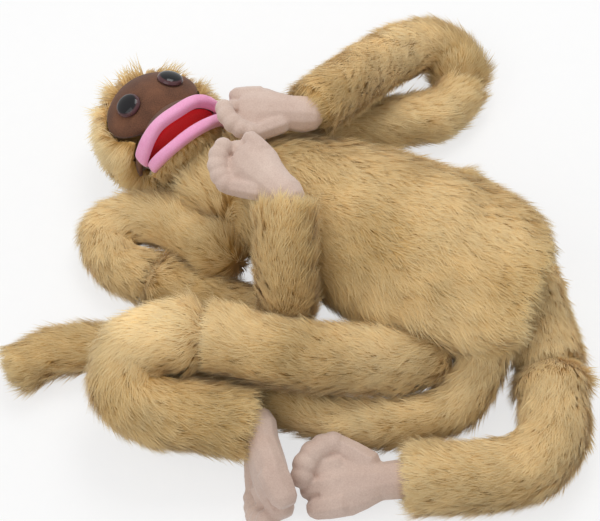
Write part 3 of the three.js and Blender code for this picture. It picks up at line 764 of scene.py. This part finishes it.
def limb(name, seed):
    line_name, root = SECTIONS[name]
    line = fine_line(LINES[line_name])
    piece = skin(name + "_fur", [name + "_cover", name + "_stuffing"], LIMB_VOXEL, 8)
    points, normals = arrays(piece)
    index, comb = nearest(line, points)
    half = next(value for key, value in HALF_WIDTHS.items() if name.endswith(key)) * MM
    at = np.array(JOINTS[root]["pos_m"])
    start, ahead = nearest(line, at[None, :])
    past = np.where(index <= start[0] + ROOT_STEPS, (points - at) @ ahead[0], 1.0)
    # The waist at each joint is filled out to the width of the limb, so that the tube runs on
    away = points - line[index]
    away -= (away * comb).sum(1)[:, None] * comb
    radius = np.linalg.norm(away, axis=1) + 1e-9
    wall = (normals * away).sum(1) / radius > 0.3
    fill = np.where(wall, np.maximum(half - radius, 0), 0) * ease(past, FILL_FROM, FILL_TO)
    sink = SUNK * ease(past, SINK_FROM, SINK_TO)
    points = points + away / radius[:, None] * fill[:, None] - normals * sink[:, None]
    settle(piece, points)
    inside = PILE_IN_TORSO if JOINTS[root]["parent"] == "torso" else PILE_IN_LIMB
    pile = pressed(points, normals) * ease(past, inside, inside + PILE_FADE)
    grow(piece, comb, pile, np.full(len(points), 1.0), seed)
    dress(piece, name, "golden_fur", name + "_cover", name + "_stuffing")
    return piece


print("half widths in millimetres:", HALF_WIDTHS)

# %% Fur on the limbs and the tail
limb_pieces = [limb(name, 20 + k) for k, name in enumerate(SECTIONS)]
print("limb pieces:", [(p.name, len(p.data.polygons)) for p in limb_pieces])

# %% [markdown]
# ## Torso
#
# The torso is a sack with an open hem, where the wearer's arm goes in. Its skin is made as a limb's is.
# Fur covers the outside only, and the wall of the sleeve stays bare. A mask could be painted by hand, but
# a distance is the same each run: a point close to the lining gets no pile.


# %% Torso fur
def near(node, points):
    mesh = NODES[node].data
    tree = BVHTree.FromPolygons([v.co for v in mesh.vertices], [tuple(f.vertices) for f in mesh.polygons])
    return np.array([tree.find_nearest(Vector(p))[3] for p in points])


SLEEVE_WALL = 0.008
COLLAR_FROM, COLLAR_TO = 0.14, 0.18
torso = skin("torso_fur", ["torso_cover", "torso_stuffing"], 6 * MM, 8)
points, normals = arrays(torso)
pile = pressed(points, normals)
bare = near("sleeve_lining", points) < SLEEVE_WALL
pile[bare] = 0.0
points = points - normals * np.where(bare, 0, SUNK)[:, None]
settle(torso, points)
comb = np.tile(np.array([1.0, 0.0, 0.0]), (len(points), 1))
comb[:, 1] = -0.25 + 1.5 * points[:, 1]
# Round the neck the pile is turned towards the head and is longer, so that it covers the join
collar = ease(-points[:, 0], COLLAR_FROM, COLLAR_TO)
comb += collar[:, None] * (np.array([-1.0, 0.35, 0.3]) - comb)
grow(torso, comb, pile, 1.1 + 0.6 * collar, 40, 1.8)
dress(torso, "torso", "golden_fur", "torso_cover", "torso_stuffing")
print("torso", len(torso.data.polygons), "faces, bare points", int(bare.sum()))

# %% [markdown]
# ### Lining and hem
#
# The sleeve is a tube of plain cloth and its hem is bound with tape. Cloth in a tube this tight has no free
# folds to simulate. So both are smoothed copies of their solids.


# %% Lining and hem
def soft_copy(name, node, body, slot, material, voxel, rounds):
    piece = skin(name, [node], voxel, rounds)
    finish_in(piece, material)
    return dress(piece, body, slot, node)


lining = soft_copy("sleeve_lining_cloth", "sleeve_lining", "torso", "lining_cloth", LINING, 1.6 * MM, 3)
hem = soft_copy("hem_tape_sewn", "hem_binding", "torso", "hem_tape", TAPE, 1.6 * MM, 3)
print("lining", len(lining.data.polygons), "hem", len(hem.data.polygons))

# %% [markdown]
# ## Head
#
# The head is a fur hood over a foam shell, turned on the neck. Its pieces could be drawn where they lie,
# but a turned face is hard to measure. So the head has its own upright frame: +X to its left, +Y up
# and +Z out of the face. Everything on the head is drawn there, in millimetres, and carried over.

# %% Head frame
HEAD_TILT = math.radians(30)
HEAD_AT = Vector((-268, 42, 57.5))
HEAD = Matrix((
    (math.sin(HEAD_TILT), -math.cos(HEAD_TILT), 0, HEAD_AT.x),
    (math.cos(HEAD_TILT), math.sin(HEAD_TILT), 0, HEAD_AT.y),
    (0, 0, 1, HEAD_AT.z),
    (0, 0, 0, 1),
))
HINGE = Vector((0, -38, 2))
MOUTH_OPEN = math.radians(16)
JAW = HEAD @ Matrix.Translation(HINGE) @ Matrix.Rotation(MOUTH_OPEN, 4, "X") @ Matrix.Translation(-HINGE)
print("head at", tuple(HEAD_AT), "millimetres")


# %% Surfaces from rows of points
def carry(points, matrix):
    p = np.array(points, float)
    m = np.array(matrix)
    return (p @ m[:3, :3].T + m[:3, 3]) * MM


def grid(name, rows, matrix, material, thick=0.0, closed=False):
    """A surface over rows of points, given a wall if thick."""
    rows = np.array(rows)
    high, wide = rows.shape[:2]
    faces = []
    for r in range(high - 1):
        for c in range(wide if closed else wide - 1):
            d = (c + 1) % wide
            faces.append((r * wide + c, r * wide + d, (r + 1) * wide + d, (r + 1) * wide + c))
    if closed:
        faces.append(tuple(range(wide - 1, -1, -1)))
        faces.append(tuple((high - 1) * wide + c for c in range(wide)))
    piece = from_points(name, carry(rows.reshape(-1, 3), matrix), faces)
    work = bmesh.new()
    work.from_mesh(piece.data)
    bmesh.ops.remove_doubles(work, verts=work.verts, dist=1e-6)
    bmesh.ops.recalc_face_normals(work, faces=work.faces)
    work.to_mesh(piece.data)
    work.free()
    if thick:
        wall = piece.modifiers.new("wall", "SOLIDIFY")
        wall.thickness = thick * MM
        wall.offset = -1.0
        baked(piece)
    piece.data.shade_smooth()
    finish_in(piece, material)
    return piece


print("row surfaces ready")

# %% [markdown]
# ### Hood and chin
#
# A ruff of long fur frames the face, longest on the crown and under the mouth, and short fur covers the chin.
# It could be combed by hand in particle edit, but a rule makes the same coat each run. So the pile is
# combed away from the middle of the face, and grows only where a skin faces outward.

# %% Hood of fur round the face
hood = skin("head_fur", ["head_hood", "head_foam"], 4 * MM, 8)
points, normals = arrays(hood)
middle = np.array(HEAD_AT) * MM
out = points - middle
pile = pressed(points, normals)
pile[(out * normals).sum(1) < 0.2 * np.linalg.norm(out, axis=1)] = 0.0
face_way = np.array([0, 0, 1.0])
comb = out - (out @ face_way)[:, None] * face_way - 0.03 * face_way
toward = out / np.linalg.norm(out, axis=1)[:, None]
crown = toward @ np.array(HEAD.to_3x3() @ Vector((0, 1, 0)))
length = 0.95 + 0.35 * ease(crown, 0.3, 0.9) + 0.55 * ease(-crown, 0.2, 0.9)
grow(hood, comb, pile, length, 50)
dress(hood, "head", "golden_fur", "head_hood", "head_foam")
print("hood", len(hood.data.polygons), "faces")

# %% Fur on the chin
CHIN_LENGTH = 0.55
chin = skin("chin_fur", ["chin_cover"], 2.5 * MM, 4)
points, normals = arrays(chin)
jaw_middle = np.array(JAW @ Vector((0, -43, 8))) * MM
out = points - jaw_middle
pile = np.where((out * normals).sum(1) > 0.3 * np.linalg.norm(out, axis=1), 1.0, 0.0)
down = np.array(JAW.to_3x3() @ Vector((0, -0.4, -1)))
grow(chin, np.tile(down, (len(points), 1)), pile, np.full(len(points), CHIN_LENGTH), 51)
dress(chin, "jaw", "golden_fur", "chin_cover")
print("chin", len(chin.data.polygons), "faces")

# %% [markdown]
# ## Face
#
# The face is a round velour panel over the foam, with its edge folded under, and the muzzle a half dome
# that stands out of it. Remeshed solids would keep a trace of their facets, which dull velour
# shows. Both follow a rule, a patch of the skull and a creased dome, so rows of points draw them
# smoothly.

# %% Face panel
SKULL_HALF = np.array([62.0, 60.0, 58.0])
FACE_WIDE, FACE_HIGH, FACE_UP = 53.5, 38.5, 9.0
FACE_PROUD = 1.2


def on_skull(x, y, proud=0.0):
    wide, high, deep = SKULL_HALF
    z = deep * math.sqrt(max(0.0, 1 - (x / wide) ** 2 - (y / high) ** 2))
    n = np.array([x / wide**2, y / high**2, z / deep**2])
    return np.array([x, y, z]) + n / np.linalg.norm(n) * proud


rows = []
for r in np.linspace(0.02, 1.0, 22):
    fold = -3.5 * max(0.0, (r - 0.9) / 0.1) ** 2
    ring = []
    for turn in np.linspace(0, 2 * math.pi, 64, endpoint=False):
        spot = (FACE_WIDE * r * math.cos(turn), FACE_UP + FACE_HIGH * r * math.sin(turn))
        ring.append(on_skull(*spot, FACE_PROUD + fold))
    rows.append(ring)
face = grid("face_velour_panel", rows, HEAD, VELOUR, 0, True)
dress(face, "head", "face_velour", "face_panel")
print("face", len(face.data.polygons), "faces")

# %% Muzzle
MOUTH_BACK = 8.0
MUZZLE_WIDE, MUZZLE_DEEP, MUZZLE_LOW, MUZZLE_RISE = 54.0, 61.0, -32.0, 26.5
rows = []
for rise in np.linspace(0, math.pi / 2, 20):
    row = []
    for turn in np.linspace(-math.pi / 2, math.pi / 2, 48):
        fold = 1.5 * math.sin(11 * rise) * math.cos(turn)
        drawn = -7 * ease(abs(turn), 0.4, 1.1) * (1 - math.sin(rise))
        row.append((
            (MUZZLE_WIDE + fold) * math.cos(rise) * math.sin(turn),
            MUZZLE_LOW + MUZZLE_RISE * math.sin(rise) + drawn,
            MOUTH_BACK + (MUZZLE_DEEP + fold) * math.cos(rise) * math.cos(turn),
        ))
    rows.append(row)
muzzle = grid("muzzle_velour", rows, HEAD, VELOUR, 3.0)
dress(muzzle, "head", "muzzle_velour", "muzzle_panel")
print("muzzle", len(muzzle.data.polygons), "faces")

# %% [markdown]
# ### Button eyes
#
# Each eye is a domed button, 27 mm across, with a shank that goes through the face to a washer. A squashed
# ball would do from far off, but it has no rim and no shank. So an outline is turned round its
# axis, and each point keeps its distance from the axis for the brown rim.

# %% Button eyes
EYE_OUT, EYE_UP = 26.0, 11.0
EYE_RADIUS, DOME_RADIUS, DOME_SEAT, DOME_RISE = 13.5, 13.0, 2.4, 5.6


def eye(name, side):
    x, y = EYE_OUT * side, EYE_UP
    at = on_skull(x, y, 0.35)
    out = on_skull(x, y, 1.0) - on_skull(x, y)
    frame_up = Vector((0, 0, 1)).rotation_difference(Vector(out)).to_matrix().to_4x4()
    matrix = HEAD @ Matrix.Translation(Vector(at)) @ frame_up
    rows = []
    outline = [(3.0, -9.5), (3.0, 0.6), (12.6, 0.6), (EYE_RADIUS, 1.4), (13.3, DOME_SEAT)]
    for t in np.linspace(0.06, 1.0, 18):
        bow = t * math.pi / 2
        outline.append((DOME_RADIUS * math.cos(bow) + 0.02, DOME_SEAT + DOME_RISE * math.sin(bow)))
    for radius, height in outline:
        ring = []
        for turn in np.linspace(0, 2 * math.pi, 48, endpoint=False):
            ring.append((radius * math.cos(turn), radius * math.sin(turn), height))
        rows.append(ring)
    piece = grid(name + "_button", rows, matrix, EYE, 0, True)
    points, _ = arrays(piece)
    local = (np.array(matrix.inverted()) @ np.c_[points / MM, np.ones(len(points))].T).T
    store(piece, "rim", np.hypot(local[:, 0], local[:, 1]) / EYE_RADIUS)
    return dress(piece, "head", "eye_gloss", name)


eyes = [eye("left_eye", 1), eye("right_eye", -1)]
print("eyes", [e.name for e in eyes])

# %% [markdown]
# ## Mouth
#
# Two stuffed lips follow the edge of the mouth boards, with felt on both boards inside. A bevelled curve
# could make each lip, but its section has to change: fat in front, drawn to a point at the
# corner. So each is a row of rings. The lower half is drawn closed in the jaw's frame, which is
# swung open.

# %% Lips
LIP_TURN = math.radians(84)
CORNER = 0.86
LIP_END = 0.93
LIP_SQUARE = 2.6
LIP_WIDTH = 14.5
LIP_FLATTEN = 0.42
THIN_DEEP, THIN_TALL = 0.34, 0.4
BOW_SHARPNESS = 18


def lip(name, half, reach, level, bow, draw, matrix):
    rows, pink = [], []
    for t in np.linspace(-LIP_END, LIP_END, 81):
        turn = t * LIP_TURN
        drawn = draw * ease(abs(t), 0.25, CORNER)
        height = level + bow * math.exp(-BOW_SHARPNESS * t * t) + drawn / 2
        tuck = 1 - 0.2 * ease(abs(t), CORNER - 0.1, 1.0)
        deep_at = MOUTH_BACK + reach * tuck * math.cos(turn)
        centre = np.array([half * tuck * math.sin(turn), height, deep_at])
        out = np.array([math.sin(turn), 0, math.cos(turn)])
        plump = math.sqrt(max(0.0, 1 - (t / (CORNER + 0.02)) ** 2))
        deep = 0.5 * LIP_WIDTH * (THIN_DEEP + (1 - THIN_DEEP) * plump)
        tall = LIP_FLATTEN * LIP_WIDTH * (THIN_TALL + (1 - THIN_TALL) * plump) + abs(drawn) / 2
        ring = []
        for around in np.linspace(0, 2 * math.pi, 28, endpoint=False):
            c, s = math.cos(around), math.sin(around)
            flat = 1.0 / (abs(c) ** LIP_SQUARE + abs(s) ** LIP_SQUARE) ** (1 / LIP_SQUARE)
            ring.append(centre + flat * (out * c * deep + np.array([0, 1, 0]) * s * tall))
            pink.append(1 - ease(abs(t), CORNER - 0.03, CORNER + 0.02))
        rows.append(ring)
    piece = grid(name, rows, matrix, LIPS, 0, True)
    store(piece, "pink", np.array(pink))
    return piece


upper_lip = lip("upper_lip_roll", half=54, reach=61, level=-33.5, bow=-2.5, draw=-8, matrix=HEAD)
dress(upper_lip, "head", "lip_fleece", "upper_lip")
lower_lip = lip("lower_lip_roll", half=49, reach=56, level=-44.3, bow=0, draw=4, matrix=JAW)
dress(lower_lip, "jaw", "lip_fleece", "lower_lip")
print("lips", len(upper_lip.data.polygons), len(lower_lip.data.polygons))

# %% [markdown]
# ### Felt and hinge
#
# Red felt is glued to the mouth side of both boards, which meet at a roll of tape. A flat cut-out with a wall
# would do, but its edge would be sharp. So each felt is a pile of D-shaped rings, a little
# smaller at its two faces.

# %% Felt and hinge
FELT_BACK = 0.86


def felt(name, node, half, reach, low, high, matrix, body):
    rows = []
    for grow_by, level in ((-6, low), (-0.4, low), (0, low + 0.5), (0, high - 0.5), (-0.4, high), (-6, high)):
        ring = []
        for turn in np.linspace(0, math.pi, 40):
            trim = FELT_BACK + (1 - FELT_BACK) * ease(math.sin(turn), 0.0, 0.4)
            x = (half + grow_by) * trim * math.cos(turn)
            ring.append((x, level, MOUTH_BACK + (reach + grow_by) * math.sin(turn)))
        edge = FELT_BACK * (half + grow_by)
        for x in np.linspace(-edge, edge, 12)[1:-1]:
            ring.append((x, level, MOUTH_BACK))
        rows.append(ring)
    piece = grid(name, rows, matrix, FELT, 0, True)
    return dress(piece, body, "mouth_felt", node)


palate = felt("palate_felt_cut", "palate_felt", 47, 52, low=-37.4, high=-35.4, matrix=HEAD, body="head")
tongue = felt("tongue_felt_cut", "tongue_felt", 43, 48, low=-39.9, high=-37.9, matrix=JAW, body="jaw")
roll = soft_copy("mouth_hinge_roll", "mouth_hinge_tape", "head", "hinge_tape", POCKET, 1.2 * MM, 3)
print("felts", len(palate.data.polygons), len(tongue.data.polygons), "roll", len(roll.data.polygons))

# %% [markdown]
# ### Inside the head
#
# Stiff boards carry the mouth, cloth pockets take the fingers and the thumb, and washers hold the eyes. New
# shapes could be drawn for all of them, but boards and washers are plain cut pieces. So those keep
# their solids and only get a material, and the pockets are smoothed as the lining is.

# %% Boards, washers and pockets
LOOKS = {
    "upper_mouth_board": BOARD, "lower_mouth_board": BOARD,
    "left_eye_washer": WASHER, "right_eye_washer": WASHER,
}
for node, material in LOOKS.items():
    finish_in(NODES[node], material)
pockets = [
    soft_copy("finger_pocket_cloth", "finger_pocket", "head", "pocket_cloth", POCKET, 1.0 * MM, 2),
    soft_copy("thumb_pocket_cloth", "thumb_pocket", "jaw", "pocket_cloth", POCKET, 1.0 * MM, 2),
]
print("inner pieces dressed:", len(LOOKS) + len(pockets))

# %% [markdown]
# ## Hands and feet
#
# The mitts are plump fleece with sewn fingers and a bent thumb. Sculpting by hand would do it, but a script
# can't repeat it. So a row of balls bends the thumb over, and a fine remesh melts it into the CAD
# mitt and keeps the gaps between the fingers.

# %% Mitts
# Each row: wrist or ankle, way of the fingers, way of the back, side of the thumb, scale along and across
MITTS = {
    "right_hand": ("right_wrist", (-80, 47, -4), (-0.3, -0.35, 1), 1, 88 / 98, 1.0),
    "left_hand": ("left_wrist", (-80, -20, 0), (0, -0.1, 1), 1, 88 / 98, 1.0),
    "right_foot": ("right_ankle", (46, -67, -15), (-0.9, -0.4, 0.2), -1, 1.0, 66 / 54),
    "left_foot": ("left_ankle", (-86, -36, -13), (0, -0.2, 1), -1, 1.0, 66 / 54),
}
# Balls of the thumb: along the hand, across it, height and radius, in millimetres
THUMB = [(58, 32, 9, 10.0), (68, 30, 11, 10.4), (78, 25, 13, 10.4), (86, 17, 13, 10.2), (90, 8, 11, 9.6)]
MITT_VOXEL = 1.5 * MM


def mitt(node):
    joint, fingers, back, side, long, wide = MITTS[node]
    x = Vector(fingers).normalized()
    z = (Vector(back) - x * Vector(back).dot(x)).normalized()
    y = z.cross(x)
    at = Vector(JOINTS[joint]["pos_m"])
    piece = cad_copy(node + "_mitt", [node])
    work = bmesh.new()
    work.from_mesh(piece.data)
    for ahead, across, rise, radius in THUMB:
        spot = at + MM * (x * ahead * long + y * across * side * wide + z * rise)
        ball = Matrix.Translation(spot) @ Matrix.Diagonal((radius * wide * MM,) * 3 + (1,))
        bmesh.ops.create_icosphere(work, subdivisions=2, radius=1.0, matrix=ball)
    work.to_mesh(piece.data)
    work.free()
    rounded(piece, MITT_VOXEL, 4)
    settle(piece, arrays(piece)[0])
    finish_in(piece, MITT)
    dress(piece, node + "_body", "mitt_fleece", node)
    return piece


mitts = [mitt(node) for node in MITTS]
print("mitts", [len(m.data.polygons) for m in mitts])

# %% [markdown]
# ## Stage
#
# The photograph has a plain white ground and a soft shadow. Strong lamps would whiten the ground, but they
# would bleach the pale cloths too. So floor and sky are white of themselves where the camera sees
# them, and the lamps stay at a plain level: a broad one on the far side and a weaker one in front.

# %% Floor
bpy.data.objects.remove(TUFT)
scene = bpy.context.scene
FLOOR_WHITE = 0.7
FLOOR_HALF = 12
FLOOR_CORNERS = ((-1, -1), (1, -1), (1, 1), (-1, 1))


def seen_ray(graph):
    path = graph.make("ShaderNodeLightPath")
    straight = graph.out(path, "Is Camera Ray")
    return straight + graph.out(path, "Is Glossy Ray") + graph.out(path, "Is Transmission Ray")


def floor_paper():
    dark, light = (244, 244, 244), (250, 250, 250)
    material = cloth("floor_paper", dark, light, patch=2.0, pile=60.0, depth=0.0001, rough=0.9, sheen=0.0)
    graph = Graph(material.node_tree)
    paper = material.node_tree.nodes["Principled BSDF"]
    white = graph.make("ShaderNodeEmission", Color=(1, 1, 1, 1), Strength=1.0)
    both = graph.make(
        "ShaderNodeMixShader", i0=seen_ray(graph) * FLOOR_WHITE, i1=paper.outputs[0], i2=white.outputs[0]
    )
    leave = material.node_tree.nodes["Material Output"]
    material.node_tree.links.new(both.outputs[0], leave.inputs["Surface"])
    return material


corners = [(x * FLOOR_HALF, y * FLOOR_HALF, 0) for x, y in FLOOR_CORNERS]
floor = from_points("floor", corners, [(0, 1, 2, 3)], False)
floor.data.materials.append(floor_paper())
print("floor", 2 * FLOOR_HALF, "metres wide")

# %% Sky and lamps
SKY = 0.52
world = bpy.data.worlds.new("studio")
scene.world = world
world.use_nodes = True
world_graph = Graph(world.node_tree)
sky = world.node_tree.nodes["Background"]
sky.inputs["Color"].default_value = (1, 1, 1, 1)
world_graph.feed(sky.inputs["Strength"], seen_ray(world_graph) * (1 - SKY) + SKY)


def area(name, at, aim, width, power):
    light = bpy.data.lights.new(name, "AREA")
    light.size = width
    light.energy = power
    lamp = bpy.data.objects.new(name, light)
    scene.collection.objects.link(lamp)
    lamp.location = at
    lamp.rotation_euler = (Vector(aim) - Vector(at)).to_track_quat("-Z", "Y").to_euler()
    return lamp


AIM = Vector((-0.077, -0.055, 0.05))
area("far_light", (-0.2, 0.75, 1.5), (-0.05, 0.08, 0.05), width=0.8, power=11)
area("front_light", (-0.7, -1.2, 1.5), AIM, width=1.4, power=9)
print("lamps", [lamp.name for lamp in bpy.data.lights])

# %% [markdown]
# ## Camera
#
# The photograph seems to be taken from above the puppet's right side and from some way off. A camera can be
# placed by eye in the view, but angles can be compared with the photograph and corrected. So it stands
# at an azimuth, an elevation and a distance from the point it aims at.

# %% Camera
AZIMUTH, ELEVATION, DISTANCE = math.radians(20), math.radians(57), 1.9
LENS, SENSOR = 114, 36
camera = bpy.data.objects.new("camera", bpy.data.cameras.new("camera"))
scene.collection.objects.link(camera)
back = Vector((
    math.sin(AZIMUTH) * math.cos(ELEVATION), -math.cos(AZIMUTH) * math.cos(ELEVATION), math.sin(ELEVATION),
))
camera.location = AIM + DISTANCE * back
camera.rotation_euler = (-back).to_track_quat("-Z", "Y").to_euler()
camera.data.lens = LENS
camera.data.sensor_width = SENSOR
scene.camera = camera
scene.view_settings.view_transform = "Standard"
print("camera at", [round(value, 3) for value in camera.location])
